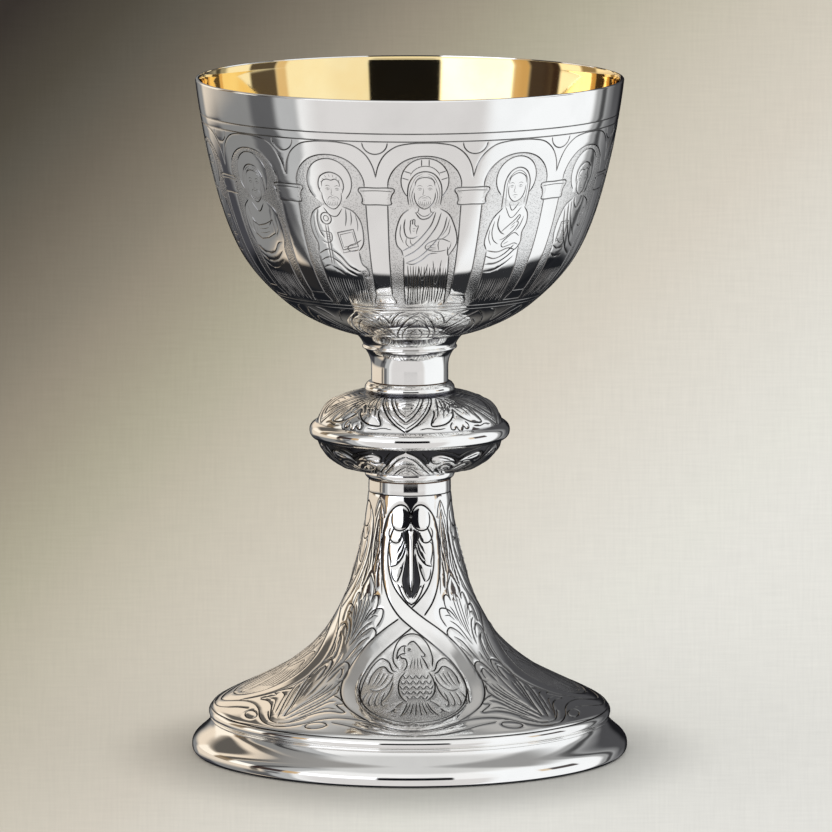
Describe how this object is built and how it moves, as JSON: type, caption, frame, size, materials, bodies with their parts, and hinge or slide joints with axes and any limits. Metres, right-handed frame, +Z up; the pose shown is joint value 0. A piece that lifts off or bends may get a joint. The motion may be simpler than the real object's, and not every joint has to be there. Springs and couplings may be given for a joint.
{
  "type": "communion chalice",
  "caption": "Footed silver communion cup with gilt bowl lining, ringed knop, trumpet foot and ogee base, clamped together by a central tie rod and nut.",
  "frame": {"origin": "on the axis of the chalice, in the table plane it stands on (bottom centre of the bounding box)", "axes": "+Z up along the axis of revolution; -Y is the front of the engraving (the middle medallion of the foot faces -Y), +X is the viewer's right"},
  "size_m": [0.129, 0.129, 0.2],
  "materials": {
    "cup_shell_mat": "polished, engraved outside",
    "gilt_lining_mat": "polished gilding",
    "cup_boss_mat": "turned",
    "cup_collar_mat": "polished",
    "neck_sleeve_mat": "polished",
    "neck_gasket_mat": "natural",
    "tie_rod_mat": "bright turned",
    "neck_ring_mat": "polished",
    "knop_upper_shell_mat": "polished, engraved",
    "knop_lower_shell_mat": "polished, engraved",
    "knop_midrib_mat": "polished",
    "knop_core_tube_mat": "turned",
    "knop_seat_ring_mat": "polished",
    "foot_shell_mat": "polished, engraved",
    "throat_plate_mat": "turned",
    "foot_step_wire_mat": "polished",
    "base_ring_mat": "polished",
    "seat_band_mat": "polished",
    "stem_gasket_mat": "natural",
    "clamp_washer_mat": "bright turned",
    "spring_washer_mat": "bright turned",
    "clamp_nut_mat": "bright turned"
  },
  "bodies": {
    "foot": {"foot_shell": "foot_shell_mat", "throat_plate": "throat_plate_mat", "foot_step_wire": "foot_step_wire_mat", "base_ring": "base_ring_mat", "seat_band": "seat_band_mat", "stem_gasket": "stem_gasket_mat"},
    "knop": {"knop_seat_ring": "knop_seat_ring_mat", "knop_lower_shell": "knop_lower_shell_mat", "knop_midrib": "knop_midrib_mat", "knop_upper_shell": "knop_upper_shell_mat", "neck_ring": "neck_ring_mat", "knop_core_tube": "knop_core_tube_mat"},
    "cup": {"cup_shell": "cup_shell_mat", "gilt_lining": "gilt_lining_mat", "cup_boss": "cup_boss_mat", "cup_collar": "cup_collar_mat", "neck_sleeve": "neck_sleeve_mat", "neck_gasket": "neck_gasket_mat", "tie_rod": "tie_rod_mat"},
    "washers": {"clamp_washer": "clamp_washer_mat", "spring_washer": "spring_washer_mat"},
    "nut": {"clamp_nut": "clamp_nut_mat"}
  },
  "joints": [
    {"name": "cup_lift", "type": "slide", "parent": "foot", "child": "cup", "axis": [0, 0, 1], "range_m": [0, 0.045]},
    {"name": "knop_turn", "type": "hinge", "parent": "foot", "child": "knop", "pos_m": [0, 0, 0.0957], "axis": [0, 0, 1], "continuous": true},
    {"name": "washer_drop", "type": "slide", "parent": "foot", "child": "washers", "axis": [0, 0, -1], "range_m": [0, 0.005]},
    {"name": "nut_turn", "type": "hinge", "parent": "washers", "child": "nut", "pos_m": [0, 0, 0.0736], "axis": [0, 0, -1], "range_deg": [0, 1800]}
  ],
  "couplings": [
    {"joint": "nut_turn", "follows": "washer_drop", "rad_per_m": 6283.2}
  ]
}
